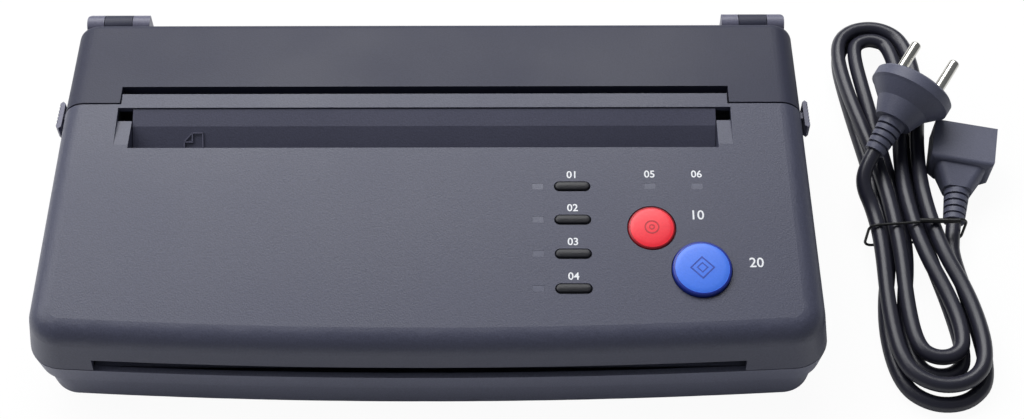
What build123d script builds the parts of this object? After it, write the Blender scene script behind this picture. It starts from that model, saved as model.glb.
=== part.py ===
from build123d import *
import math
import os

# Thermal stencil copier: a desktop machine with a sloping control panel, a lid hinged
# at the rear, a document well, a stencil slot, a front exit slot and its mains lead.
# Millimetres. X to the right, Y to the rear, Z up. The origin is on the table, at the
# middle of the machine's width and depth.

# ---------------------------------------------------------------- driving sizes
case_width = 323.0            # widest, at the parting line of base and cover
case_depth = 157.0            # front of the bow to the rear face
front_bow = 5.0               # how far the middle of the front stands forward
front_corner_r = 15.0
rear_corner_r = 5.0
wall = 2.4
draft_deg = 10.0              # lean of the cover's side and front walls
edge_r = 10.0                 # rounding round the top of the covers
rear_edge_r = 4.0             # rounding of the lid's rear edges
foot_height = 2.0
plinth_z = 19.0               # top of the inset plinth of the base
plinth_inset = 2.6
plinth_draft = 1.2
rim_draft = 1.2
floor_z = 4.4                 # inside floor of the base
parting_z = 29.0              # top of the base at the front and sides
parting_gap = 0.4
rear_wall_z = 49.0            # top of the wall behind the seam, under the lid
panel_front_z = 48.4          # height of the panel's plane over the front of the bow
panel_slope_deg = 8.5
lid_slope_deg = 2.5
seam_from_front = 112.0       # front of the bow to the seam of cover and lid
seam_gap = 0.8

sheet_x = -3.2                # middle of the slots, left of the machine's middle
slot_half = 127.8             # half length of the stencil slot
slot_front = 116.9            # front of the bow to the slot's front edge
slot_gap = 4.4
slot_lip_z = 55.0             # lower edge of the lid's chute wall
chute_wall = 1.6

well_half = 129.0             # half length of the document well
well_front = 91.0             # front of the bow to the well's front lip
well_rear = 110.3             # front of the bow to the well's rear edge
rail_width = 6.0
rail_z = 62.2                 # top of the two document rails
rail_length = 14.2

exit_half = 130.5
exit_height = 6.2

hinge_behind = 5.2            # hinge axis behind the rear face
hinge_z = 59.0
knuckle_r = 4.6
ear_in = 126.0                # inner and outer ends of each hinge housing
ear_out = 153.5
ear_foot_z = 31.0
lug_width = 12.0
hinge_screw_z = (36.0, 44.0)
pin_r = 1.5
lid_open_deg = 62.0

key_x = 58.6                  # mode keys: column, first row from the front, pitch
key_first = 27.2
key_pitch = 15.2
key_count = 4
key_length = 14.2
key_width = 3.8
key_rise = 0.8
key_travel = 0.8
stop_x, stop_from_front, stop_r, stop_rise, stop_travel = 90.5, 53.8, 9.6, 0.6, 0.9
copy_x, copy_from_front, copy_r, copy_rise, copy_travel = 109.8, 35.2, 11.9, 2.0, 1.2
cap_clear = 0.4               # gap round a key or button in its hole
cap_bevel = 0.9
flange_width = 1.6
flange_thick = 0.9
rest_gap = 0.3                # gap between parts that move and what stops them
lens_x = 44.5
lens_length = 4.6
lens_width = 2.7

board_thick = 1.6
key_board_drop = 8.4          # panel surface to the top of the key board
key_board_x = (32.8, 126.8)
key_board_y = (16.4, 78.4)    # from the front of the bow

plate_x = 133.2               # inner face of the chassis side plates
plate_thick = 1.5
shaft_r = 3.0
shaft_fit = 0.05
bush_r = 5.0
platen_from_front, platen_z, platen_r, platen_half = 113.4, 29.0, 8.0, 112.0
feed_from_front, feed_r = 88.9, 6.0
pinch_r = 3.0
gear_module = 1.0
platen_teeth, feed_teeth = 32, 24
reduction_teeth, reduction_small_teeth, pinion_teeth = 28, 12, 12
mesh_slack = 0.12             # extra distance between meshing gears
gear_thick = 5.0
gear_x = 136.0                # inner face of the first gear layer, left of the plate
layer_gap = 1.0
motor_from_front, motor_z, motor_r, motor_length = 138.2, 25.0, 11.6, 18.6

latch_travel = 4.0
tab_length, tab_height, tab_thick = 14.5, 7.0, 2.2
tab_from_front = 107.9
latch_z = 49.35

inlet_x, inlet_z, inlet_width, inlet_height, inlet_depth = 88.0, 27.0, 27.5, 20.0, 18.0
socket_width, socket_height, socket_depth = 24.4, 16.6, 15.0
switch_x, switch_width, switch_height, switch_depth = 117.0, 15.0, 21.0, 15.0
rocker_tilt_deg = 8.0

foot_r = 7.0
foot_places = [(-128.0, 25.4), (128.0, 25.4), (-128.0, 141.4), (128.0, 141.4)]
post_places = [(-149.0, 24.0), (149.0, 24.0), (-149.0, 100.0), (149.0, 100.0)]
post_r = 3.6
screw_r = 1.5

cord_d = 6.6
cord_gap = 0.6
hank_x = 210.3                # the waist of the hanked lead
hank_y = 12.0
hank_turn_deg = 4.5           # the hank's turn to the left

# ---------------------------------------------------------------- values worked out
total_depth = case_depth + hinge_behind + knuckle_r
front_y = -total_depth / 2
rear_y = front_y + case_depth
seam_y = front_y + seam_from_front
hinge_y = rear_y + hinge_behind
panel_slope = math.radians(panel_slope_deg)
slot_front_y = front_y + slot_front
slot_rear_y = slot_front_y + slot_gap
well_front_y = front_y + well_front
well_rear_y = front_y + well_rear
seam_z = panel_front_z + seam_from_front * math.tan(panel_slope)
cover_z = parting_z + parting_gap
lid_z = rear_wall_z + parting_gap
far = 400.0                   # larger than the machine, for cutting blocks

panel_plane = Plane((0, front_y, panel_front_z), x_dir=(1, 0, 0),
                    z_dir=(0, -math.sin(panel_slope), math.cos(panel_slope)))
lid_tilt = math.radians(lid_slope_deg)
lid_plane = Plane((0, seam_y, seam_z), x_dir=(1, 0, 0),
                  z_dir=(0, -math.sin(lid_tilt), math.cos(lid_tilt)))


def panel_z(y):
    return panel_front_z + (y - front_y) * math.tan(panel_slope)


def on_panel(x, y):
    """A place on the panel with Z along the panel's normal."""
    return Location((x, y, panel_z(y)), (panel_slope_deg, 0, 0))


def draft_inset(z):
    """How far the covers' walls have come in at a height."""
    return (z - parting_z) * math.tan(math.radians(draft_deg))


def block(x0, x1, y0, y1, z0, z1):
    return Pos((x0 + x1) / 2, (y0 + y1) / 2, (z0 + z1) / 2) * Box(x1 - x0, y1 - y0, z1 - z0)


def rod(x0, x1, y, z, r):
    """A cylinder along X."""
    return Pos((x0 + x1) / 2, y, z) * Rot(0, 90, 0) * Cylinder(r, x1 - x0)


def post(x, y, z0, z1, r):
    """A cylinder along Z."""
    return Pos(x, y, (z0 + z1) / 2) * Cylinder(r, z1 - z0)


def bar(x0, x1, points):
    """A prism along X from an outline of (y, z) points."""
    face = make_face(Plane.YZ * Polyline(*points, close=True))
    return Pos(x0, 0, 0) * extrude(face, x1 - x0, dir=(1, 0, 0))


def mirrored(part):
    return mirror(part, Plane.YZ)


# ---------------------------------------------------------------- casing
def outline(inset, z, rear_inset=0.0, rear=rear_y, rear_r=rear_corner_r):
    """The plan of the machine, drawn in by an inset: straight sides, bowed front."""
    half = case_width / 2 - inset
    side_y = front_y + front_bow + inset
    back_y = rear - rear_inset
    with BuildSketch(Plane.XY.offset(z)) as plan:
        with BuildLine():
            Polyline((-half, side_y), (-half, back_y), (half, back_y), (half, side_y))
            ThreePointArc((half, side_y), (0, front_y + inset), (-half, side_y))
        make_face()
        fillet(plan.vertices().sort_by(Axis.Y)[:2], front_corner_r - min(inset, wall))
        if rear_r:
            fillet(plan.vertices().sort_by(Axis.Y)[-2:], rear_r - min(inset, wall))
    return plan.sketch


def tapered(z0, z1, inset0, inset1, **plan):
    return loft([outline(inset0, z0, **plan).face(), outline(inset1, z1, **plan).face()])


def cover_form(depth, low_z, top_plane, **plan):
    """The covers' outer form, or with a depth the space inside their walls."""
    high_z = seam_z + 20
    form = tapered(low_z, high_z, draft_inset(low_z) + depth, draft_inset(high_z) + depth,
                   rear_inset=depth, rear_r=0, **plan)
    form = split(form, bisect_by=top_plane.offset(-depth), keep=Keep.BOTTOM)
    top = form.faces().sort_by(Axis.Z)[-1]
    last_y = plan.get("rear", rear_y) - depth
    form = fillet(top.edges().filter_by(lambda e: e.center().Y < last_y - 1), edge_r - depth)
    if "rear" in plan:
        return form
    back = form.faces().sort_by(Axis.Y)[-1]
    return fillet(back.edges().filter_by(lambda e: e.center().Z > low_z + 0.5),
                  rear_edge_r - depth)


def make_base():
    sill = dict(rear_inset=0)
    base = tapered(foot_height, plinth_z, plinth_inset + plinth_draft, plinth_inset,
                   rear_inset=plinth_inset)
    bottom = base.faces().sort_by(Axis.Z)[0]
    base = fillet(bottom.edges(), 2.0)
    base += tapered(plinth_z, parting_z, rim_draft, 0, **sill)
    inner = plinth_inset + plinth_draft + wall
    base -= tapered(floor_z, plinth_z + wall, inner, inner, rear_inset=wall + plinth_inset)
    base -= tapered(plinth_z + wall, parting_z, rim_draft + wall, wall, rear_inset=wall)
    for x, y in post_places:
        base += post(x, front_y + y, floor_z - 1, parting_z, post_r)
        base -= post(x, front_y + y, 0, parting_z + 1, screw_r + 0.3)
        base -= post(x, front_y + y, 0, foot_height + screw_head_depth, screw_head_r + 0.4)
    for x, y in foot_places:
        base -= post(x, front_y + y, 0, foot_height + 1.0, foot_r + 0.1)
    # shelf under the paper exit, flush with the rim
    shelf_y = front_y + wall + 11
    base += block(sheet_x - exit_half, sheet_x + exit_half, front_y + 6, shelf_y,
                  parting_z - 2, parting_z - 0.2)
    base -= rear_openings()
    # posts under the two boards on the floor, and ribs that seat the side plates
    for board in (main_board_box, power_board_box):
        for x, y in board_corners(board):
            base += post(x, y, floor_z - 1, board[4], 2.6)
            base -= post(x, y, foot_height + 1.2, board[4] + 1, screw_r * 0.8)
    for side in (-1, 1):
        for y in plate_rib_y:
            a, b = sorted((side * (plate_x - 3), side * (plate_x + plate_thick + 3)))
            rib = block(a, b, y, y + 6, floor_z - 0.5, floor_z + 5)
            c, d = sorted((side * (plate_x - 0.1), side * (plate_x + plate_thick + 0.1)))
            base += rib - block(c, d, y - 1, y + 7, plate_low_z - 0.1, floor_z + 6)
    return base


def rear_openings():
    """Holes for the mains inlet and the switch, half in the tray and half in the wall."""
    low, high = 0.9, inlet_height / 2 - 0.9
    holes = block(inlet_x - inlet_width / 2 + low, inlet_x + inlet_width / 2 - low,
                  rear_y - 8, rear_y + 5, inlet_z - high, inlet_z + high)
    high = switch_height / 2 - 0.9
    holes += block(switch_x - switch_width / 2 + low, switch_x + switch_width / 2 - low,
                   rear_y - 8, rear_y + 5, inlet_z - high, inlet_z + high)
    return holes


def make_rear_wall():
    """The wall on the tray behind the seam: two sides and the back, under the lid."""
    low = parting_z + 0.05
    raised = tapered(low, rear_wall_z, draft_inset(low), draft_inset(rear_wall_z), rear_inset=0)
    raised -= tapered(low - 1, rear_wall_z + 1, draft_inset(low - 1) + wall,
                      draft_inset(rear_wall_z + 1) + wall, rear_inset=wall)
    raised &= block(-far, far, seam_y, far, 0, far)
    # shelves that carry the release latches
    for side in (-1, 1):
        a, b = sorted((side * latch_in, side * (case_width / 2 - 4)))
        raised += block(a, b, seam_y + 0.6, seam_y + 18, latch_z - 3.3, latch_z - rest_gap)
    raised -= rear_openings()
    for side in (-1, 1):
        for z in hinge_screw_z:
            raised -= Pos(side * (ear_in + 6), rear_y, z) * Rot(90, 0, 0) * Cylinder(screw_r, 10)
    return raised


def stadium(length, width):
    return SlotOverall(length, width) if length > width else Circle(width / 2)


def key_places():
    for i in range(key_count):
        yield key_x, front_y + key_first + i * key_pitch


def lens_places():
    for x, y in key_places():
        yield lens_x, y
    top_row = front_y + key_first + (key_count - 1) * key_pitch
    yield stop_x, top_row
    yield copy_x, top_row


def make_front_cover():
    long = dict(rear=rear_y + 60)
    cover = cover_form(0, cover_z, panel_plane, **long)
    cover -= cover_form(wall, cover_z - 1, panel_plane, **long)
    cover -= block(-far, far, slot_front_y, far, 0, far)
    for side in (-1, 1):
        a, b = sorted((sheet_x + side * slot_half, side * far))
        cover -= block(a, b, seam_y, far, 0, far)
    cover -= block(sheet_x - exit_half, sheet_x + exit_half, front_y - 5, front_y + 20,
                   0, parting_z + exit_height)
    cover -= block(sheet_x - well_half, sheet_x + well_half, well_front_y, well_rear_y,
                   rail_z - 30, far)
    # rails at the ends of the well, level, running out where the panel comes down to them
    for side in (-1, 1):
        a, b = sorted((side * (well_half - rail_width), side * (well_half + 0.5)))
        rail = block(sheet_x + a, sheet_x + b, well_front_y - 1, well_front_y + rail_length, rail_z - 12, rail_z)
        cover += split(rail, bisect_by=panel_plane.offset(-0.05), keep=Keep.BOTTOM)
    # a skirt under the front lip, which guides the sheet into the rollers
    cover += block(sheet_x - well_half, sheet_x + well_half, well_front_y - wall, well_front_y,
                   rail_z - 5.4, panel_z(well_front_y) - wall)
    # the panel's holes and the bosses of the key board
    for x, y in key_places():
        hole = stadium(key_length + 2 * cap_clear, key_width + 2 * cap_clear)
        cover -= on_panel(x, y) * Pos(0, 0, -5) * extrude(hole, 10)
    for x, y, r in ((stop_x, stop_y, stop_r), (copy_x, copy_y, copy_r)):
        cover -= on_panel(x, y) * Cylinder(r + cap_clear, 10)
    for x, y in lens_places():
        cover -= on_panel(x, y) * Box(lens_length + 0.1, lens_width + 0.1, 10)
    for x, y in key_board_corners():
        cover += on_panel(x, y) * Pos(0, 0, -(wall * 0.5 + key_board_drop) / 2) * Cylinder(
            2.6, key_board_drop - wall * 0.5)
        cover -= on_panel(x, y) * Pos(0, 0, -key_board_drop) * Cylinder(screw_r * 0.8, 8)
    for x, y in post_places:
        py = front_y + y
        boss = post(x, py, cover_z, panel_z(py), post_r)
        boss &= cover_form(0.5, cover_z - 1, panel_plane, **long)
        cover += boss - post(x, py, 0, cover_z + 16, screw_r)
    return cover


def make_rear_cover():
    lid = cover_form(0, lid_z, lid_plane)
    lid -= cover_form(wall, lid_z - 1, lid_plane)
    lid -= block(-far, far, -far, seam_y + seam_gap, 0, far)
    slot_end = slot_half + seam_gap
    lid -= block(sheet_x - slot_end, sheet_x + slot_end, -far, slot_rear_y, 0, far)
    # the front edge keeps inside its own swing
    swing = rod(-far, far, hinge_y, hinge_z, hinge_y - seam_y - rest_gap)
    lid -= block(-far, far, seam_y - 5, seam_y + 5, 0, hinge_z) - swing
    chute = block(sheet_x - slot_end, sheet_x + slot_end, slot_rear_y,
                  slot_rear_y + chute_wall, slot_lip_z, seam_z + 5)
    lid += chute & cover_form(0.5, lid_z - 1, lid_plane)
    # stiffening ribs across the lid
    for x in (-60, 0, 60):
        rib = block(x - 0.8, x + 0.8, slot_rear_y + chute_wall - 0.2, rear_y - wall + 0.2,
                    seam_z - 7, seam_z + 5)
        lid += rib & cover_form(0.5, lid_z - 1, lid_plane)
    middle = (ear_in + ear_out) / 2
    for side in (-1, 1):
        x0 = side * middle - lug_width / 2
        lug = rod(x0, x0 + lug_width, hinge_y, hinge_z, knuckle_r)
        lug += block(x0, x0 + lug_width, rear_y - wall + 0.3, hinge_y, hinge_z - 3, hinge_z + 3)
        lid += lug
        lid -= rod(x0 - 1, x0 + lug_width + 1, hinge_y, hinge_z, pin_r + shaft_fit)
        # notch over the stem of the release latch
        a, b = sorted((side * (latch_in + 3), side * far))
        lid -= block(a, b, stem_y - 1.0, stem_y + stem_length + latch_travel + 0.8,
                     0, latch_z + latch_height + 0.6)
    return lid


def make_hinge_housing():
    """The right-hand housing: a post with a rounded top, slotted for the lid's lug."""
    front = hinge_y - knuckle_r
    back = hinge_y + knuckle_r
    body = block(ear_in, ear_out, front, back, ear_foot_z, hinge_z)
    body += rod(ear_in, ear_out, hinge_y, hinge_z, knuckle_r)
    body += block(ear_in, ear_in + 14, rear_y, front + 1, ear_foot_z, rear_wall_z)
    with BuildSketch() as plan:
        with BuildLine():
            Polyline((ear_in, rear_y), (ear_out, rear_y), (ear_out, back), (ear_in, back),
                     close=True)
        make_face()
        rear_corners = plan.vertices().sort_by(Axis.Y)[-2:].sort_by(Axis.X)
        fillet(rear_corners[1], 5.0)
        fillet(plan.vertices().sort_by(Axis.Y)[-2:].sort_by(Axis.X)[0], 2.5)
    body &= extrude(plan.sketch, far)
    middle = (ear_in + ear_out) / 2
    half = lug_width / 2 + rest_gap
    body -= block(middle - half, middle + half, rear_y, far, hinge_z - knuckle_r - 0.4, far)
    body -= rod(ear_in + 0.8, ear_out - 0.8, hinge_y, hinge_z, pin_r + 0.02)
    for z in hinge_screw_z:
        body -= Pos(ear_in + 6, rear_y, z) * Rot(90, 0, 0) * Cylinder(screw_r, 30)
        body -= Pos(ear_in + 6, back, z) * Rot(90, 0, 0) * Cylinder(3.0, 4.8)
    return body


def make_hinge_screws():
    screws = []
    for side in (-1, 1):
        for z in hinge_screw_z:
            x = side * (ear_in + 6)
            back = hinge_y + knuckle_r
            shank = Pos(x, (rear_y - wall + back - 3) / 2, z) * Rot(90, 0, 0) * Cylinder(
                screw_r - 0.02, back - 3 - rear_y + wall)
            head = Pos(x, back - 1.4, z) * Rot(90, 0, 0) * Cylinder(2.8, 2.0)
            head -= Pos(x, back - 0.4, z) * Box(4.0, 1.0, 0.7)
            head -= Pos(x, back - 0.4, z) * Box(0.7, 1.0, 4.0)
            screws.append(shank + head)
    return screws


def make_hinge_pin():
    return rod(ear_in + 1.0, ear_out - 1.0, hinge_y, hinge_z, pin_r)


# ---------------------------------------------------------------- release latches
latch_in = 149.0
latch_height = 3.2
stem_length = 3.2
stem_y = seam_y + seam_gap + 1.2


def make_latch():
    """The right-hand release latch: ribbed finger tab, stem and inner slider."""
    tab_z = latch_z + latch_height / 2
    wall_x = case_width / 2 - draft_inset(tab_z - tab_height / 2)
    tab_y = front_y + tab_from_front
    outer = wall_x + rest_gap
    tab = block(outer, outer + tab_thick, tab_y, tab_y + tab_length,
                tab_z - tab_height / 2, tab_z + tab_height / 2)
    tab = chamfer(tab.edges().filter_by(Axis.Z), 1.0)
    groove_pitch = 1.8
    for i in range(6):
        y = tab_y + 2.6 + i * groove_pitch
        tab -= block(outer + tab_thick - 0.5, outer + tab_thick + 1, y, y + 0.8,
                     tab_z - tab_height, tab_z + tab_height)
    latch = tab + block(latch_in + 5, outer + 0.5, stem_y, stem_y + stem_length,
                        latch_z, latch_z + latch_height)
    latch += block(latch_in + 0.4, latch_in + 5.4, stem_y - 1.4, stem_y + stem_length + 4,
                   latch_z, latch_z + latch_height)
    return latch


# ---------------------------------------------------------------- keys and panel
stop_y = front_y + stop_from_front
copy_y = front_y + copy_from_front


def make_cap(shape, x, y, rise, flange):
    """A key or button: cap through the panel and a wider flange under it."""
    low = -(wall + rest_gap + flange_thick)
    cap = Pos(0, 0, low) * extrude(shape, rise - low)
    cap = chamfer(cap.faces().sort_by(Axis.Z)[-1].edges(), min(cap_bevel, rise * 0.7))
    cap += Pos(0, 0, low) * extrude(flange, flange_thick)
    return on_panel(x, y) * cap


def make_key(x, y):
    shape = stadium(key_length, key_width)
    return make_cap(shape, x, y, key_rise,
                    stadium(key_length + 2 * flange_width, key_width + 2 * flange_width))


def make_round_button(x, y, r, rise):
    return make_cap(Circle(r), x, y, rise, Circle(r + flange_width))


def make_lenses():
    length = key_board_drop - 2.2
    return [on_panel(x, y) * Pos(0, 0, -length / 2 - 0.05) * Box(lens_length, lens_width, length)
            for x, y in lens_places()]


def key_board_corners():
    x0, x1 = key_board_x
    y0, y1 = front_y + key_board_y[0], front_y + key_board_y[1]
    return [(x, y) for x in (x0 + 4, x1 - 4) for y in (y0 + 4, y1 - 4)]


def make_key_board():
    x0, x1 = key_board_x
    y0, y1 = front_y + key_board_y[0], front_y + key_board_y[1]
    middle = on_panel((x0 + x1) / 2, (y0 + y1) / 2)
    depth = (y1 - y0) / math.cos(panel_slope)
    board = middle * Pos(0, 0, -key_board_drop - board_thick / 2) * Box(x1 - x0, depth, board_thick)
    for x, y in key_board_corners():
        board -= on_panel(x, y) * Pos(0, 0, -key_board_drop) * Cylinder(screw_r + 0.2, 8)
    return board


def make_tact_switches():
    """A small switch under each key and button, its plunger clear of the full stroke."""
    low = -(wall + rest_gap + flange_thick)
    switches = []
    places = [(x, y, key_travel) for x, y in key_places()]
    places += [(stop_x, stop_y, stop_travel), (copy_x, copy_y, copy_travel)]
    for x, y, travel in places:
        top = low - travel - rest_gap
        body_h = key_board_drop + top - 0.7
        switch = Pos(0, 0, -key_board_drop + body_h / 2) * Box(6, 6, body_h)
        switch += Pos(0, 0, top - 0.5) * Cylinder(1.7, 1.0)
        switches.append(on_panel(x, y) * switch)
    return switches


def make_indicator_leds():
    return [on_panel(x, y) * Pos(0, 0, -key_board_drop + 0.9) * Box(3.0, 2.0, 1.8)
            for x, y in lens_places()]


# ---------------------------------------------------------------- paper path
platen_y = front_y + platen_from_front
feed_y = front_y + feed_from_front


def gear_reach(a, b):
    return (a + b) * gear_module / 2 + mesh_slack


feed_z = platen_z + math.sqrt(gear_reach(platen_teeth, feed_teeth) ** 2
                              - (platen_y - feed_y) ** 2)
nip_angle = math.radians(30)          # slope of the sheet where the feed roller holds it
pinch_y = feed_y - (feed_r + pinch_r + rest_gap) * math.sin(nip_angle)
pinch_z = feed_z + (feed_r + pinch_r + rest_gap) * math.cos(nip_angle)
guide_half = plate_x - 0.2
sensor_y = feed_y - 27.0              # middle of the image sensor
sensor_width = 15.0
sensor_top_z = feed_z - 3.5
exit_guide_end_z = parting_z + 2.2


def sloped_sheet(x0, x1, points, thick):
    """A plate along X whose upper face follows (y, z) points."""
    under = [(y, z - thick) for y, z in reversed(points)]
    return bar(x0, x1, list(points) + under)


def make_document_ramp():
    top = panel_z(well_rear_y) - 0.7
    bend_y = well_rear_y - 6.9
    bend_z = top - 3.3
    end_y = feed_y + 3.5
    end_z = bend_z - (bend_y - end_y) * 0.85
    half = well_half - rail_width - rest_gap
    ramp = sloped_sheet(-half, half,
                        [(end_y, end_z), (bend_y, bend_z), (well_rear_y - rest_gap, top)], 2.0)
    # the ramp runs out under the rails and the rear land
    ledge_z = panel_z(well_rear_y) - wall * 1.3
    ramp += bar(-half, half, [(well_rear_y - rest_gap - 1, ledge_z - 2),
                              (slot_front_y - 0.5, ledge_z - 2),
                              (slot_front_y - 0.5, ledge_z - 0.1),
                              (well_rear_y - rest_gap - 1, ledge_z - 0.1)])
    return Pos(sheet_x, 0, 0) * ramp


def make_paper_guide():
    """Sheet guide from the feed roller to the exit, with a window for the sensor."""
    half_gap = sensor_width / 2 + 0.3
    entry = sloped_sheet(-guide_half, guide_half,
                         [(sensor_y + half_gap, sensor_top_z + 0.2),
                          (feed_y - 10.0, feed_z + 1.9)], 1.2)
    leave = sloped_sheet(-guide_half, guide_half,
                         [(front_y + 10.5, exit_guide_end_z + 1.2),
                          (sensor_y - half_gap, sensor_top_z - 0.2)], 1.2)
    guide = entry + leave
    for side in (-1, 1):
        a, b = sorted((side * 120.0, side * guide_half))
        guide += block(a, b, sensor_y - half_gap - 1.5, sensor_y + half_gap + 1.5,
                       sensor_top_z - 1.6, sensor_top_z - 0.6)
    return guide


def make_stencil_guide():
    """Lower plate that takes the stencil from under the platen to the exit."""
    r = platen_r + 2.4
    curl = [(platen_y + r * math.sin(a), platen_z - r * math.cos(a))
            for a in (math.radians(-12), math.radians(10), math.radians(32))]
    points = [(front_y + 14.5, parting_z - 0.4)] + curl
    return sloped_sheet(-guide_half, guide_half, points, 1.0)


def make_chute_plate():
    """Front wall of the stencil chute, between the slot and the platen."""
    return block(-guide_half, guide_half, slot_front_y - 2.2, slot_front_y - 0.6,
                 platen_z + platen_r + 1.5, seam_z - wall - 3.2)


def make_image_sensor():
    body = block(-116, 116, sensor_y - sensor_width / 2, sensor_y + sensor_width / 2,
                 sensor_top_z - 12, sensor_top_z)
    body += block(-plate_x, plate_x, sensor_y - 5, sensor_y + 5,
                  sensor_top_z - 11, sensor_top_z - 3)
    return body - block(-113, 113, sensor_y - 6.2, sensor_y + 6.2,
                        sensor_top_z - 1.8, sensor_top_z + 1)


def make_sensor_glass():
    return block(-112.9, 112.9, sensor_y - 6.1, sensor_y + 6.1,
                 sensor_top_z - 1.8, sensor_top_z - 0.1)


def make_backing_plate():
    """White plate that holds the sheet down on the sensor, hung on two end tabs."""
    low = sensor_top_z + 0.8
    return bar(-guide_half, guide_half, [(sensor_y - 6, low), (sensor_y + 6, low),
                                         (sensor_y + 8, low + 1.6), (sensor_y + 6, low + 2.2),
                                         (sensor_y - 6, low + 2.2), (sensor_y - 8, low + 1.6)])


plate_low_z = floor_z + 0.3
plate_rib_y = (front_y + 25.0, front_y + 62.0, front_y + 122.0)


def make_side_plate(side):
    inner = side * plate_x
    outer = side * (plate_x + plate_thick)
    a, b = sorted((inner, outer))
    front = front_y + 15.0
    back = rear_y - 8.0
    top = [(front, panel_z(front) - wall - 2.2), (seam_y - 1, panel_z(seam_y) - wall - 2.2),
           (seam_y + 8, seam_z - wall - 2.2), (back - 8, rear_wall_z + 4), (back, rear_wall_z - 4)]
    plate = bar(a, b, [(front, plate_low_z)] + top + [(back, plate_low_z)])
    cut0, cut1 = a - 1, b + 1
    plate -= rod(cut0, cut1, platen_y, platen_z, bush_r)
    plate -= rod(cut0, cut1, feed_y, feed_z, bush_r)
    plate -= rod(cut0, cut1, pinch_y, pinch_z, 1.5 + shaft_fit)
    plate -= rod(cut0, cut1, head_pivot_y, head_pivot_z, 2.05)
    # clearance hole for the motor's boss, and lightening holes
    if side < 0:
        plate -= rod(cut0, cut1, motor_y, motor_z, 4.0)
        plate -= rod(cut0, cut1, reduction_y, reduction_z, 2.05)
    for y in (front_y + 30, front_y + 50):
        plate -= rod(cut0, cut1, y, 25.0, 6.0)
    return plate


def make_bushes():
    bushes = []
    for side in (-1, 1):
        for y, z in ((platen_y, platen_z), (feed_y, feed_z)):
            a, b = sorted((side * (plate_x - 1.5), side * (plate_x + plate_thick)))
            c, d = sorted((side * (plate_x - 1.5), side * (plate_x - 0.05)))
            bush = rod(a, b, y, z, bush_r - 0.02) + rod(c, d, y, z, bush_r + 1.2)
            bushes.append(bush - rod(a - 1, b + 1, y, z, shaft_r + shaft_fit))
    return bushes


def make_platen_roller():
    return (rod(-platen_half, platen_half, platen_y, platen_z, platen_r)
            - rod(-far, far, platen_y, platen_z, shaft_r + 0.02))


def make_platen_shaft():
    return rod(-(gear_x + gear_thick + 1), plate_x + plate_thick + 3, platen_y, platen_z, shaft_r)


def make_feed_rollers():
    rollers = []
    for i in range(5):
        x = (i - 2) * 48.0
        ring = rod(x - 12, x + 12, feed_y, feed_z, feed_r)
        rollers.append(ring - rod(-far, far, feed_y, feed_z, shaft_r + 0.02))
    return rollers


def make_feed_shaft():
    return rod(-(gear_x + gear_thick + 1), plate_x + plate_thick + 3, feed_y, feed_z, shaft_r)


def make_pinch_roller():
    shaft = rod(-(plate_x + plate_thick + 0.8), plate_x + plate_thick + 0.8,
                pinch_y, pinch_z, 1.5)
    for i in range(5):
        x = (i - 2) * 48.0
        shaft += rod(x - 10, x + 10, pinch_y, pinch_z, pinch_r)
    return shaft


# ---------------------------------------------------------------- thermal head
head_y = platen_y + platen_r + 0.35
head_thick = 1.3
sink_y = head_y + head_thick
sink_depth = 10.5
sink_half = 110.0
head_pivot_y = sink_y + 6.0
head_pivot_z = 38.0
bracket_y = sink_y + sink_depth + 7.0
spring_x = (-48.0, 0.0, 48.0)
spring_r = 3.0
spring_z = 29.0
spring_wire_r = 0.4


def make_thermal_head():
    return block(-107, 107, head_y, sink_y, 18, 40)


def make_heat_sink():
    sink = block(-sink_half, sink_half, sink_y, sink_y + sink_depth, 17, 41.5)
    for i in range(4):
        z = 19.5 + i * 5.2
        sink -= block(-far, far, sink_y + 4.5, sink_y + 8.0, z, z + 3.0)
    for side in (-1, 1):
        a, b = sorted((side * (sink_half - 8), side * (plate_x + plate_thick + 0.5)))
        sink += rod(a, b, head_pivot_y, head_pivot_z, 2.0)
    return sink


def make_head_bracket():
    """Sheet bracket behind the head that its springs push against."""
    bracket = block(-66, 66, bracket_y, bracket_y + 1.2, floor_z + 0.1, 39)
    bracket += block(-66, 66, bracket_y, rear_y - 8, floor_z + 0.1, floor_z + 1.3)
    for x in spring_x:
        bracket += Pos(x, bracket_y - 1.2, spring_z) * Rot(90, 0, 0) * Cylinder(2.0, 2.6)
    return bracket


def make_head_springs():
    springs = []
    length = bracket_y - sink_y - sink_depth - 2 * spring_wire_r - 0.2
    for x in spring_x:
        path = Helix(pitch=length / 5, height=length, radius=spring_r)
        start = path @ 0
        wire = sweep(Plane(origin=start, z_dir=path % 0) * Circle(spring_wire_r), path=path)
        springs.append(Pos(x, sink_y + sink_depth + spring_wire_r + 0.1, spring_z)
                       * Rot(-90, 0, 0) * wire)
    return springs


# ---------------------------------------------------------------- gear train
motor_y = front_y + motor_from_front


def reduction_place():
    """Where the reduction gear meshes with both the platen gear and the pinion."""
    r1 = gear_reach(platen_teeth, reduction_small_teeth)
    r2 = gear_reach(reduction_teeth, pinion_teeth)
    dy, dz = motor_y - platen_y, motor_z - platen_z
    d = math.hypot(dy, dz)
    a = (d * d + r1 * r1 - r2 * r2) / (2 * d)
    h = math.sqrt(r1 * r1 - a * a)
    return platen_y + (a * dy - h * dz) / d, platen_z + (a * dz + h * dy) / d


reduction_y, reduction_z = reduction_place()


def direction(y0, z0, y1, z1):
    """Angle of the line from one axle to another, in degrees from +Y towards +Z."""
    return math.degrees(math.atan2(z1 - z0, y1 - y0))


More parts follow.
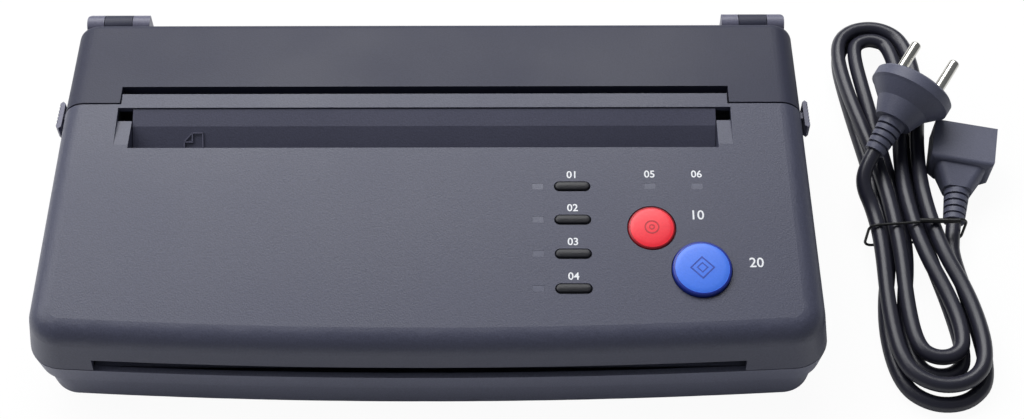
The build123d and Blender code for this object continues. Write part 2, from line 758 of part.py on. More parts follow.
def make_gear(teeth, x0, y, z, tooth_angle, bore, thick=gear_thick):
    """A spur gear along X with one tooth centred at tooth_angle, thick enough to mesh."""
    pitch_r = teeth * gear_module / 2
    root_r = pitch_r - 1.25 * gear_module
    tip_r = pitch_r + 0.9 * gear_module
    step = 360 / teeth
    root_half = 0.30 * step
    pitch_half = 0.215 * step
    tip_half = 0.10 * step
    points = []
    for i in range(teeth):
        centre = tooth_angle + i * step
        for r, half in ((root_r, -root_half), (pitch_r, -pitch_half), (tip_r, -tip_half),
                        (tip_r, tip_half), (pitch_r, pitch_half), (root_r, root_half)):
            a = math.radians(centre + half)
            points.append((y + r * math.cos(a), z + r * math.sin(a)))
    gear = bar(x0, x0 + thick, points)
    return gear - rod(x0 - 1, x0 + thick + 1, y, z, bore)


layer_one = -(gear_x + gear_thick)
layer_two = layer_one - layer_gap - gear_thick


def gap_opposite(angle_from_driver, driver_teeth, driver_tooth_angle, teeth):
    """Tooth angle that puts a gap of this gear on the driver's tooth in the mesh."""
    step_d = 360 / driver_teeth
    step = 360 / teeth
    off = (angle_from_driver - driver_tooth_angle) / step_d
    frac = off - math.floor(off)
    back = angle_from_driver + 180
    return back + (frac - 0.5) * step


platen_tooth = 0.0
to_feed = direction(platen_y, platen_z, feed_y, feed_z)
feed_tooth = gap_opposite(to_feed, platen_teeth, platen_tooth, feed_teeth)
to_small = direction(platen_y, platen_z, reduction_y, reduction_z)
small_tooth = gap_opposite(to_small, platen_teeth, platen_tooth, reduction_small_teeth)
large_tooth = small_tooth
to_pinion = direction(reduction_y, reduction_z, motor_y, motor_z)
pinion_tooth = gap_opposite(to_pinion, reduction_teeth, large_tooth, pinion_teeth)


def make_platen_gear():
    return make_gear(platen_teeth, layer_one, platen_y, platen_z, platen_tooth, shaft_r + 0.02)


def make_feed_gear():
    return make_gear(feed_teeth, layer_one, feed_y, feed_z, feed_tooth, shaft_r + 0.02)


def make_reduction_gear():
    small = make_gear(reduction_small_teeth, layer_one - layer_gap, reduction_y, reduction_z,
                      small_tooth, 2.0 + shaft_fit, gear_thick + layer_gap)
    large = make_gear(reduction_teeth, layer_two, reduction_y, reduction_z, large_tooth,
                      2.0 + shaft_fit)
    return small + large


def make_gear_stud():
    stud = rod(layer_two - 1.6, -plate_x - 0.1, reduction_y, reduction_z, 2.0)
    return stud + rod(layer_two - 1.6, layer_two - 0.4, reduction_y, reduction_z, 3.4)


def make_motor():
    body = rod(-plate_x + 0.1, -plate_x + motor_length, motor_y, motor_z, motor_r)
    boss = rod(-plate_x - plate_thick, -plate_x + 0.2, motor_y, motor_z, 3.9)
    return body + boss - rod(-plate_x - 5, -plate_x + 8, motor_y, motor_z, 1.5 + shaft_fit)


def make_motor_pinion():
    gear = make_gear(pinion_teeth, layer_two, motor_y, motor_z, pinion_tooth, 1.0)
    return gear + rod(layer_two, -plate_x + 7, motor_y, motor_z, 1.5)


# ---------------------------------------------------------------- electronics
main_board_box = (14.0, 112.0, front_y + 20.0, front_y + 68.0, 7.4)
power_board_box = (-112.0, -14.0, front_y + 20.0, front_y + 68.0, 7.4)


def board_corners(board):
    x0, x1, y0, y1, z = board
    return [(x, y) for x in (x0 + 4, x1 - 4) for y in (y0 + 4, y1 - 4)]


def make_board(board):
    x0, x1, y0, y1, z = board
    plate = block(x0, x1, y0, y1, z + 0.05, z + board_thick)
    for x, y in board_corners(board):
        plate -= post(x, y, 0, 20, screw_r + 0.2)
    return plate


def make_main_board_parts():
    z = main_board_box[4] + board_thick
    y0 = main_board_box[2]
    parts = [block(40, 54, y0 + 16, y0 + 30, z, z + 1.6), block(70, 80, y0 + 20, y0 + 28, z, z + 1.4)]
    parts += [block(28 + i * 26, 44 + i * 26, y0 + 3, y0 + 9, z, z + 6.5) for i in range(3)]
    parts += [post(92 + i * 8, y0 + 26, z, z + 5.0, 2.6) for i in range(2)]
    return parts


def make_power_board_parts():
    z = power_board_box[4] + board_thick
    y0 = power_board_box[2]
    parts = [block(-78, -58, y0 + 6, y0 + 24, z, z + 8.5), block(-50, -40, y0 + 5, y0 + 21, z, z + 7)]
    parts += [post(-96, y0 + 14, z, z + 8.0, 6.0), post(-30, y0 + 12, z, z + 8.0, 4.0)]
    parts += [block(-100, -84, y0 + 30, y0 + 38, z, z + 4.5)]
    return parts


# ---------------------------------------------------------------- rear sockets
def make_power_inlet():
    """Appliance inlet in the rear wall: face plate, body and socket."""
    x, z = inlet_x, inlet_z
    plate = Pos(x, rear_y + 0.9, z) * Box(inlet_width, 1.6, inlet_height)
    body = block(x - inlet_width / 2 + 1, x + inlet_width / 2 - 1, rear_y + 0.2 - inlet_depth,
                 rear_y + 0.5, z - inlet_height / 2 + 1, z + inlet_height / 2 - 1)
    socket = block(x - socket_width / 2, x + socket_width / 2, rear_y - socket_depth, far,
                   z - socket_height / 2, z + socket_height / 2)
    corners = socket.edges().filter_by(Axis.Y).group_by(Axis.Z)[-1]
    socket = chamfer(corners, 4.0)
    return plate + body - socket


def make_inlet_pins():
    floor_y = rear_y - socket_depth
    return [Pos(inlet_x + dx, floor_y + 5.5, inlet_z + dz) * Box(2.0, 11.0, 4.0)
            for dx, dz in ((-7, 1.2), (7, 1.2), (0, -1.8 + 5.0))]


def make_switch_housing():
    x, z = switch_x, inlet_z
    plate = Pos(x, rear_y + 0.9, z) * Box(switch_width, 1.6, switch_height)
    body = block(x - switch_width / 2 + 1, x + switch_width / 2 - 1, rear_y + 0.2 - switch_depth,
                 rear_y + 0.5, z - switch_height / 2 + 1, z + switch_height / 2 - 1)
    hollow = block(x - rocker_half - 0.35, x + rocker_half + 0.35, rear_y - 9, far,
                   z - switch_height / 2 + 2.0, z + switch_height / 2 - 2.0)
    pivot = rod(x - switch_width / 2 + 1, x + switch_width / 2 - 1, rocker_y, z, 1.0)
    return plate + body - hollow + pivot


rocker_half = 4.8
rocker_y = rear_y - 3.0


def make_rocker():
    """The switch's rocker, a shallow vee on a pivot, tipped to its off side at rest."""
    x, z = switch_x, inlet_z
    half_h = switch_height / 2 - 3.0
    tip = 4.2
    rocker = bar(x - rocker_half, x + rocker_half,
                 [(rocker_y - 2.5, z - 3), (rocker_y + tip, z - half_h),
                  (rocker_y + tip - 1.4, z), (rocker_y + tip, z + half_h),
                  (rocker_y - 2.5, z + 3)])
    rocker -= rod(x - 20, x + 20, rocker_y, z, 1.0 + shaft_fit)
    return rocker.rotate(Axis((x, rocker_y, z), (1, 0, 0)), -rocker_tilt_deg)


# ---------------------------------------------------------------- feet and screws
screw_head_r = 2.8
screw_head_depth = 2.2


def make_feet():
    feet = []
    for x, y in foot_places:
        foot = post(x, front_y + y, 0, foot_height + 1.0, foot_r)
        feet.append(chamfer(foot.faces().sort_by(Axis.Z)[0].edges(), 0.6))
    return feet


def make_case_screws():
    screws = []
    for x, y in post_places:
        py = front_y + y
        head_top = foot_height + screw_head_depth
        screw = post(x, py, foot_height + 0.3, head_top, screw_head_r)
        screw -= block(x - 2, x + 2, py - 0.35, py + 0.35, 0, foot_height + 1.2)
        screw -= block(x - 0.35, x + 0.35, py - 2, py + 2, 0, foot_height + 1.2)
        screws.append(screw + post(x, py, head_top - 0.5, cover_z + 15, screw_r - 0.02))
    return screws


def make_board_screws():
    screws = []
    for board in (main_board_box, power_board_box):
        for x, y in board_corners(board):
            top = board[4] + board_thick
            screws.append(post(x, y, board[4] - 3.5, top + 0.1, screw_r * 0.8 - 0.02)
                          + post(x, y, top + 0.05, top + 1.3, 2.4))
    for x, y in key_board_corners():
        low = -key_board_drop - board_thick
        screw = Pos(0, 0, low + 2.5) * Cylinder(screw_r * 0.8 - 0.02, 5.2)
        screw += Pos(0, 0, low - 0.7) * Cylinder(2.4, 1.3)
        screws.append(on_panel(x, y) * screw)
    return screws


# ---------------------------------------------------------------- mains lead
layer_low, layer_high = cord_d / 2, cord_d * 1.5 + cord_gap   # the two layers of the hank
waist_rise = 1.3                       # room for the tie under the waist
upper_arc_y = 92.0                     # centres of the upper end loops, from the waist
lower_x, upper_x = -2.8, 1.8           # the loops' middles, from the waist
lower_ends = ((-74.0, 19.4), (-69.0, 10.8), (-65.0, 10.0), (-70.0, 18.2))
lower_spread_y = -62.0                 # where the lower runs have reached their full width
tie_y = -10.0
low_waist, high_waist = layer_low + waist_rise, layer_high + waist_rise
plug_turn_deg, plug_tilt_deg = 40.0, 20.0
plug_end = (-13.4, 25.0, 22.5)         # where the lead enters the plug's relief
plug_length, plug_face_r = 36.0, 18.5
pin_spacing, plug_pin_r, plug_pin_length = 19.0, 2.4, 19.0
conn_turn_deg, conn_tilt_deg = 17.0, 6.3
conn_head = (29.0, 29.2, 11.1)         # middle of the connector's head
conn_back = 36.0                       # from there back to the end of its relief
conn_width, conn_height, conn_length = 27.5, 20.0, 20.0
end_run = cord_d + 0.5


def heading(turn_deg, tilt_deg):
    """Unit direction turned to the right of +Y and tilted up."""
    turn, tilt = math.radians(turn_deg), math.radians(tilt_deg)
    return Vector(math.sin(turn) * math.cos(tilt), math.cos(turn) * math.cos(tilt),
                  math.sin(tilt))


def laid_out(part):
    """A piece of the lead, made about the waist, in its place beside the machine."""
    return Pos(hank_x, hank_y, 0) * Rot(0, 0, hank_turn_deg) * part


def arc_from(start, tangent, end):
    """Arc from a point and its direction there to another point."""
    chord = end - start
    along = chord.normalized()
    angle = math.radians(tangent.get_angle(chord))
    if angle < 1e-4:
        return Line(start, end), 1e9
    side = (tangent - along * tangent.dot(along)).normalized()
    middle = start + chord * 0.5 + side * (chord.length / 2 * math.tan(angle / 2))
    return ThreePointArc(start, middle, end), chord.length / (2 * math.sin(angle))


def biarc(start, t0, end, t1):
    """Two arcs that leave start along t0 and reach end along t1."""
    v = end - start
    t = t0 + t1
    k = 2 * (1 - t0.dot(t1))
    b = v.dot(t)
    if k < 1e-9:
        d = v.dot(v) / (2 * b)
    else:
        d = (-2 * b + math.sqrt(4 * b * b + 4 * k * v.dot(v))) / (2 * k)
    joint = (start + end + (t0 - t1) * d) * 0.5
    first, r0 = arc_from(start, t0, joint)
    second, r1 = arc_from(end, -t1, joint)
    return [first, ThreePointArc(joint, second @ 0.5, end)], [r0, r1]


def lead_path():
    """The lead's route: eight runs drawn in at the waist, joined by end loops."""
    up, down = Vector(0, 1, 0), Vector(0, -1, 0)
    z = {1: layer_low, 2: layer_high}
    waist_z = {1: low_waist, 2: high_waist}
    (y1, r1), (y2, r2), (y3, r3), (y4, r4) = lower_ends
    conn_dir = heading(conn_turn_deg, conn_tilt_deg)
    start = Vector(*conn_head) - conn_dir * conn_back
    inner = start - conn_dir * end_run
    edges, radii = [Line(start, inner)], []

    def go(end, t1):
        nonlocal here, way
        if way.get_angle(end - here) < 0.01 and way.get_angle(t1) < 0.01:
            edges.append(Line(here, end))
        else:
            arcs, rs = biarc(here, way, end, t1)
            edges.extend(arcs)
            radii.extend(rs)
        here, way = end, t1

    def loop(x_to, layer, top):
        nonlocal here, way
        r = abs(x_to - here.X) / 2
        tip = here.Y + (r if top else -r)
        end = Vector(x_to, here.Y, here.Z)
        edges.append(ThreePointArc(here, Vector((here.X + end.X) / 2, tip, here.Z), end))
        radii.append(r)
        here, way = end, (down if top else up)

    here, way = inner, -conn_dir
    go(Vector(lower_x + r1, lower_spread_y, z[1]), down)
    go(Vector(lower_x + r1, y1, z[1]), down)
    loop(lower_x - r1, 1, False)
    go(Vector(-11.7, 0, waist_z[1]), up)
    go(Vector(upper_x - 15.6, upper_arc_y, z[1]), up)
    loop(upper_x + 15.6, 1, True)
    go(Vector(3.9, 0, waist_z[1]), down)
    go(Vector(lower_x + r2, y2, z[1]), down)
    loop(lower_x - r2, 1, False)
    go(Vector(-3.9, 0, waist_z[1]), up)
    go(Vector(upper_x - 9.0, upper_arc_y, z[2]), up)
    loop(upper_x + 9.0, 2, True)
    go(Vector(-1.0, 0, waist_z[2]), down)
    go(Vector(lower_x + r3, y3, z[2]), down)
    loop(lower_x - r3, 2, False)
    go(Vector(-9.0, 0, waist_z[2]), up)
    go(Vector(upper_x - 16.8, upper_arc_y, z[2]), up)
    loop(upper_x + 16.8, 2, True)
    go(Vector(7.0, 0, waist_z[2]), down)
    go(Vector(lower_x + r4, lower_spread_y, z[2]), down)
    go(Vector(lower_x + r4, y4, z[2]), down)
    loop(lower_x - r4, 2, False)
    go(Vector(-17.0, 0, waist_z[2]), up)
    plug_dir = heading(plug_turn_deg, plug_tilt_deg)
    last = Vector(*plug_end)
    go(last - plug_dir * end_run, plug_dir)
    edges.append(Line(here, last))
    return Wire([e.edge() if hasattr(e, "edge") else e for e in edges]), radii


def own_gap(path):
    """Least gap of the tube to itself, measured between points on its middle line."""
    count = int(path.length)
    points = [path.position_at(i / count) for i in range(count + 1)]
    skip = 30
    best = 1e9
    for i in range(len(points)):
        p = points[i]
        for j in range(i + skip, len(points)):
            q = points[j]
            if abs(p.X - q.X) < 9 and abs(p.Y - q.Y) < 9:
                best = min(best, (p - q).length)
    return best - cord_d


def make_mains_cord():
    path, radii = lead_path()
    start = Plane(origin=path @ 0, z_dir=path % 0)
    tube = sweep(start * Circle(cord_d / 2), path=path)
    section = math.pi * cord_d ** 2 / 4
    print("lead length", round(path.length, 1), "least radius", round(min(radii), 1),
          "least own gap", round(own_gap(path), 2))
    print("lead volume", round(tube.volume), "section x length", round(section * path.length))
    return tube


def plug_plane():
    forward = heading(plug_turn_deg, plug_tilt_deg)
    return Plane(origin=Vector(*plug_end), x_dir=heading(plug_turn_deg + 90, 0), z_dir=forward)


def turned(steps):
    """A round body along Z from (z, r) steps, starting on the axis."""
    outline = [(0, steps[0][0])] + [(r, z) for z, r in steps] + [(0, steps[-1][0])]
    return revolve(make_face(Plane.XZ * Polyline(*outline, close=True)), Axis.Z)


def make_mains_plug():
    n = plug_length
    plug = turned([(0, 4.6), (n - 20, 6.2), (n - 19.9, 8.5), (n - 12, 12.0), (n - 6.5, 17.3),
                   (n - 5.5, plug_face_r), (n - 1, plug_face_r), (n, plug_face_r - 1)])
    for i in range(4):
        z = 3.0 + i * 3.2
        plug -= Pos(0, 0, z) * (Cylinder(8, 1.0) - Cylinder(4.0, 1.0))
    for dx in (-pin_spacing / 2, pin_spacing / 2):
        plug -= Pos(dx, 0, n) * Cylinder(plug_pin_r + 0.02, 16)
    return plug_plane().location * plug


def make_plug_pins():
    pins = []
    for dx in (-pin_spacing / 2, pin_spacing / 2):
        z0, z1 = plug_length - 7.9, plug_length + plug_pin_length
        pin = Pos(dx, 0, (z0 + z1) / 2) * Cylinder(plug_pin_r, z1 - z0)
        pin = fillet(pin.faces().sort_by(Axis.Z)[-1].edges(), 1.4)
        pins.append(plug_plane().location * pin)
    return pins


def make_cord_connector():
    back = conn_back
    head = Pos(0, 0, back) * Box(conn_width, conn_height, conn_length)
    head = chamfer(head.edges().filter_by(Axis.Z).group_by(Axis.Y)[-1], 4.0)
    head = fillet(head.faces().sort_by(Axis.Z)[0].edges(), 2.0)
    neck_top = back - conn_length / 2 + 0.4
    neck = loft([Plane.XY.offset(neck_top) * RectangleRounded(22, 15.5, 4),
                 Plane.XY.offset(neck_top - 11) * RectangleRounded(12.4, 11.8, 4)])
    relief = turned([(0, 4.7), (neck_top - 10.8, 5.6)])
    for i in range(4):
        relief -= Pos(0, 0, 2.6 + i * 3.2) * (Cylinder(8, 1.0) - Cylinder(4.1, 1.0))
    whole = head + neck + relief
    face = back + conn_length / 2
    for dx, dy in ((-7, -1.2), (7, -1.2), (0, 2.4)):
        whole -= Pos(dx, dy, face) * Box(2.4, 4.6, 30)
    forward = heading(conn_turn_deg, conn_tilt_deg)
    end = Vector(*conn_head) - forward * conn_back
    plane = Plane(origin=end, x_dir=heading(conn_turn_deg + 90, 0), z_dir=forward)
    return plane.location * whole


tie_left, tie_right = -21.6, 21.6
tie_low, tie_high = 0.62, 16.0
tie_wire_r = 0.6


def make_twist_tie():
    """The wire tie round the waist, with its twisted end lying over the runs."""
    middle = Vector((tie_left + tie_right) / 2, tie_y, (tie_low + tie_high) / 2)
    plane = Plane(origin=middle, x_dir=(1, 0, 0), z_dir=(0, -1, 0))
    ring = plane * RectangleRounded(tie_right - tie_left, tie_high - tie_low, 3.5)
    path = ring.face().outer_wire()
    tie = sweep(Plane(origin=path @ 0, z_dir=path % 0) * Circle(tie_wire_r), path=path)
    root = Vector(0.5, tie_y + 0.4, tie_high + 0.6)
    tip = Vector(17.5, tie_y - 1.6, tie_high + 1.2)
    out = (tip - root).normalized()
    tail = Cylinder(1.1, (tip - root).length)
    tie += Plane(origin=(root + tip) * 0.5, z_dir=out).location * tail
    return tie


def save(name, parts):
    shape = Compound(children=list(parts)) if isinstance(parts, (list, tuple)) else parts
    export_step(shape, f"parts/{name}.step")


def main():
    os.makedirs("parts", exist_ok=True)
    save("base_tray", make_base())
    save("front_cover", make_front_cover())
    save("rear_wall", make_rear_wall())
    save("rear_cover", make_rear_cover())
    save("hinge_pins", [make_hinge_pin(), mirrored(make_hinge_pin())])
    for side, name in ((1, "right"), (-1, "left")):
        flip = mirrored if side < 0 else (lambda part: part)
        save(f"hinge_housing_{name}", flip(make_hinge_housing()))
        save(f"release_latch_{name}", flip(make_latch()))
        save(f"side_plate_{name}", make_side_plate(side))
    for i, (x, y) in enumerate(key_places()):
        save(f"mode_key_{i + 1}", make_key(x, y))
    save("stop_button", make_round_button(stop_x, stop_y, stop_r, stop_rise))
    save("copy_button", make_round_button(copy_x, copy_y, copy_r, copy_rise))
    save("light_windows", make_lenses())
    save("key_board", make_key_board())
    save("tact_switches", make_tact_switches())
    save("indicator_lamps", make_indicator_leds())
    save("document_ramp", make_document_ramp())
    save("paper_guide", make_paper_guide())
    save("stencil_guide", make_stencil_guide())
    save("chute_plate", make_chute_plate())
    save("image_sensor", make_image_sensor())
    save("sensor_glass", make_sensor_glass())
    save("backing_plate", make_backing_plate())
    save("shaft_bushes", make_bushes())
    save("platen_roller", make_platen_roller())
    save("platen_shaft", make_platen_shaft())
    save("feed_rollers", make_feed_rollers())
    save("feed_shaft", make_feed_shaft())
    save("pinch_roller", make_pinch_roller())
    save("thermal_head", make_thermal_head())
    save("heat_sink", make_heat_sink())
    save("head_bracket", make_head_bracket())
    save("head_springs", make_head_springs())
    save("platen_gear", make_platen_gear())
    save("feed_gear", make_feed_gear())
    save("reduction_gear", make_reduction_gear())
    save("gear_stud", make_gear_stud())
    save("stepper_motor", make_motor())
    save("motor_pinion", make_motor_pinion())
    save("main_board", make_board(main_board_box))
    save("main_board_parts", make_main_board_parts())
    save("power_board", make_board(power_board_box))
    save("power_board_parts", make_power_board_parts())
    save("power_inlet", make_power_inlet())
    save("inlet_pins", make_inlet_pins())
    save("switch_housing", make_switch_housing())
    save("switch_rocker", make_rocker())
    save("rubber_feet", make_feet())
    save("case_screws", make_case_screws() + make_hinge_screws())
    save("board_screws", make_board_screws())
    save("mains_cord", laid_out(make_mains_cord()))
    save("mains_plug", laid_out(make_mains_plug()))
    save("plug_pins", [laid_out(pin) for pin in make_plug_pins()])
    save("cord_connector", laid_out(make_cord_connector()))
    save("twist_tie", laid_out(make_twist_tie()))


main()
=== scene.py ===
import bpy
import math
from mathutils import Vector, Matrix


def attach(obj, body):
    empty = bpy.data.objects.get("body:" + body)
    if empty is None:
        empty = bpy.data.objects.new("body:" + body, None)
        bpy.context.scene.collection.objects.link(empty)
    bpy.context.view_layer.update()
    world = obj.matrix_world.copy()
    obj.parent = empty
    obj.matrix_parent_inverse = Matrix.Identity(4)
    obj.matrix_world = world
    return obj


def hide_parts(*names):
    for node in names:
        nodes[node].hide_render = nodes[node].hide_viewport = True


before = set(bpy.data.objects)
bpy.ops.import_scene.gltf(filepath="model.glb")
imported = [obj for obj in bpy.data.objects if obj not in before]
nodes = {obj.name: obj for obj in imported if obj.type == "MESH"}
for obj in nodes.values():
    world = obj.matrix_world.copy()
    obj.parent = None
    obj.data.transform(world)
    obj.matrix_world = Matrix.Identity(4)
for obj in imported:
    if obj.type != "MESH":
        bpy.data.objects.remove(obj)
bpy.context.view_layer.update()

scene = bpy.context.scene

# camera, placed by the machine's outline in the picture
cameraSet = {"place": (0.0375, -0.4060, 0.5868), "down": 53.97, "turn": -0.528, "roll": -0.51,
             "lens": 56.5, "sensor": 36, "near": 0.02, "far": 30}


def makeCamera(s):
    bpy.ops.object.camera_add()
    cam = bpy.context.object
    cam.name = "mainCamera"
    cam.data.sensor_width = s["sensor"]
    cam.data.lens = s["lens"]
    cam.data.clip_start = s["near"]
    cam.data.clip_end = s["far"]
    down, turn, roll = (math.radians(s[k]) for k in ("down", "turn", "roll"))
    ahead = Vector((math.sin(turn) * math.cos(down), math.cos(turn) * math.cos(down),
                    -math.sin(down)))
    right = ahead.cross(Vector((0, 0, 1))).normalized()
    up = right.cross(ahead)
    rolledRight = right * math.cos(roll) + up * math.sin(roll)
    rolledUp = up * math.cos(roll) - right * math.sin(roll)
    pose = Matrix((rolledRight, rolledUp, -ahead)).transposed().to_4x4()
    pose.translation = Vector(s["place"])
    cam.matrix_world = pose
    scene.camera = cam


makeCamera(cameraSet)
print("camera done")

# the lead: its waist, layers and end loops as in the source, in millimetres here
leadSet = {"waist": (210.3, 12.0), "turn": 4.5, "d": 6.6, "length": 1.455,
           "low": 3.3, "high": 10.5, "rise": 1.3,
           "waistY": (23, -17), "lowX": -2.8, "lowSpreadY": -50, "highX": 1.8, "highSpreadY": 69,
           "highArc": 92.0, "highR": (15.6, 9, 16.8),
           "lowEnds": ((-74, 19.4), (-69, 10.8), (-65, 10), (-70, 18.2))}


def leadRoute(s):
    wx, wy = s["waist"]
    c, d = math.cos(math.radians(s["turn"])), math.sin(math.radians(s["turn"]))
    z = {1: s["low"], 2: s["high"]}
    zw = {1: s["low"] + s["rise"], 2: s["high"] + s["rise"]}
    xl, xh = s["lowX"], s["highX"]
    innerY, outerY = s["waistY"]
    pts = []

    def put(x, y, h):
        pts.append((wx + x * c - y * d, wy + x * d + y * c, h))

    def arc(middle, r, yc, layer, sense, way):
        # half turn round an end, four points outside it
        rho = r / math.cos(math.radians(22.5))
        for a in (22.5, 67.5, 112.5, 157.5):
            t = math.radians(a)
            put(middle + way * rho * math.cos(t), yc + sense * rho * math.sin(t), z[layer])

    def low(i, layer):
        yc, r = s["lowEnds"][i]
        arc(xl, r, yc, layer, -1, 1)

    def high(i, layer):
        arc(xh, s["highR"][i], s["highArc"], layer, 1, -1)

    def down(iHigh, xWaist, iLow, layer, extra=0):
        put(xh + s["highR"][iHigh], s["highSpreadY"], z[layer])
        put(xWaist, innerY, zw[layer])
        put(xWaist, outerY, zw[layer])
        put(xl + s["lowEnds"][iLow][1], s["lowSpreadY"] + extra, z[layer])

    def up(iLow, xWaist, iHigh, layer, layerTop):
        put(xl - s["lowEnds"][iLow][1], s["lowSpreadY"], z[layer])
        put(xWaist, outerY, zw[layer])
        put(xWaist, innerY, zw[layer])
        put(xh - s["highR"][iHigh], s["highSpreadY"], z[layerTop])

    # out of the connector and down beside the bundle
    put(18.54, -5.02, 7.15)
    put(16.1, -13, 6.1)
    put(14.2, -22, 5.0)
    put(16.6, -48, 3.4)
    # lower layer, then the upper one on it
    low(0, 1)
    up(0, -11.7, 0, 1, 1)
    high(0, 1)
    down(0, 3.9, 1, 1)
    low(1, 1)
    up(1, -3.9, 1, 1, 2)
    high(1, 2)
    down(1, -1, 2, 2)
    low(2, 2)
    up(2, -9, 2, 2, 2)
    high(2, 2)
    down(2, 7, 3, 2, extra=2)
    low(3, 2)
    # up along the left side and into the plug
    put(xl - s["lowEnds"][3][1], s["lowSpreadY"], z[2])
    put(-17, outerY, zw[2])
    put(-17.1, 1, zw[2] + 0.1)
    put(-20.6, 12, 16.2)
    put(-17.6, 20, 20.2)
    put(-13.4, 25, 22.5)
    return [(x / 1000, y / 1000, h / 1000) for x, y, h in pts]


def makeLead(s):
    pts = leadRoute(s)
    curve = bpy.data.curves.new("mainsLead", "CURVE")
    curve.dimensions = "3D"
    spline = curve.splines.new("NURBS")
    spline.points.add(len(pts) - 1)
    for p, co in zip(spline.points, pts):
        p.co = (*co, 1)
        p.radius = s["d"] / 2000       # with a bevel of 1, so that the curve's box is true
    spline.order_u = 3
    spline.use_endpoint_u = True
    spline.resolution_u = 8
    curve.bevel_depth = 1
    curve.bevel_resolution = 5
    curve.use_fill_caps = True
    ob = bpy.data.objects.new("mainsLead", curve)
    scene.collection.objects.link(ob)
    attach(ob, "mains_lead")
    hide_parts("mains_cord")
    return ob


lead = makeLead(leadSet)
print("lead done")


def srgb(r, g, b):
    def lin(c):
        c = c / 255
        return c / 12.92 if c <= 0.04045 else ((c + 0.055) / 1.055) ** 2.4
    return (lin(r), lin(g), lin(b), 1)


# the moulded grain: a fine speck over a broad, faint unevenness
grainSet = {"fineDetail": 2, "broadDetail": 3, "broad": 14, "noise": (0.3, 0.7),
            "speck": (0.78, 1.24), "shade": (0.96, 1.04), "rough": (-0.04, 0.05),
            "depth": 0.0003, "ior": 1.46}


def makeGrain(s):
    g = bpy.data.node_groups.new("mouldedGrain", "ShaderNodeTree")
    for name, kind in (("Color", "Color"), ("Rough", "Float"), ("Scale", "Float"),
                       ("Speck", "Float")):
        g.interface.new_socket(name, in_out="INPUT", socket_type="NodeSocket" + kind)
    for name, kind in (("Base Color", "Color"), ("Roughness", "Float"), ("Height", "Float")):
        g.interface.new_socket(name, in_out="OUTPUT", socket_type="NodeSocket" + kind)
    n, link = g.nodes, g.links.new
    given, result = n.new("NodeGroupInput"), n.new("NodeGroupOutput")
    place = n.new("ShaderNodeTexCoord").outputs["Object"]
    fine = n.new("ShaderNodeTexNoise")
    fine.inputs["Detail"].default_value = s["fineDetail"]
    link(place, fine.inputs["Vector"])
    link(given.outputs["Scale"], fine.inputs["Scale"])
    broad = n.new("ShaderNodeTexNoise")
    broad.inputs["Scale"].default_value = s["broad"]
    broad.inputs["Detail"].default_value = s["broadDetail"]
    link(place, broad.inputs["Vector"])

    def spread(source, low, high):
        r = n.new("ShaderNodeMapRange")
        r.inputs["From Min"].default_value = s["noise"][0]
        r.inputs["From Max"].default_value = s["noise"][1]
        r.inputs["To Min"].default_value = low
        r.inputs["To Max"].default_value = high
        link(source, r.inputs["Value"])
        return r.outputs["Result"]

    def calc(kind, a, b):
        m = n.new("ShaderNodeMath")
        m.operation = kind
        link(a, m.inputs[0])
        link(b, m.inputs[1])
        return m.outputs[0]

    speck = calc("POWER", spread(fine.outputs["Fac"], *s["speck"]), given.outputs["Speck"])
    shade = calc("MULTIPLY", spread(broad.outputs["Fac"], *s["shade"]), speck)
    tint = n.new("ShaderNodeVectorMath")
    tint.operation = "SCALE"
    link(given.outputs["Color"], tint.inputs[0])
    link(shade, tint.inputs["Scale"])
    link(tint.outputs["Vector"], result.inputs["Base Color"])
    link(calc("ADD", given.outputs["Rough"], spread(broad.outputs["Fac"], *s["rough"])),
         result.inputs["Roughness"])
    link(fine.outputs["Fac"], result.inputs["Height"])
    return g


grain = makeGrain(grainSet)


def makeMat(name, rgb, rough, scale=1500, speck=0.5, bump=0.25, metallic=0.0):
    mat = bpy.data.materials.new(name)
    mat.use_nodes = True
    tree = mat.node_tree
    shader = tree.nodes["Principled BSDF"]
    g = tree.nodes.new("ShaderNodeGroup")
    g.node_tree = grain
    g.inputs["Color"].default_value = srgb(*rgb)
    g.inputs["Rough"].default_value = rough
    g.inputs["Scale"].default_value = scale
    g.inputs["Speck"].default_value = speck
    b = tree.nodes.new("ShaderNodeBump")
    b.inputs["Strength"].default_value = bump
    b.inputs["Distance"].default_value = grainSet["depth"]
    tree.links.new(g.outputs["Base Color"], shader.inputs["Base Color"])
    tree.links.new(g.outputs["Roughness"], shader.inputs["Roughness"])
    tree.links.new(g.outputs["Height"], b.inputs["Height"])
    tree.links.new(b.outputs["Normal"], shader.inputs["Normal"])
    shader.inputs["Metallic"].default_value = metallic
    shader.inputs["IOR"].default_value = grainSet["ior"]
    return mat


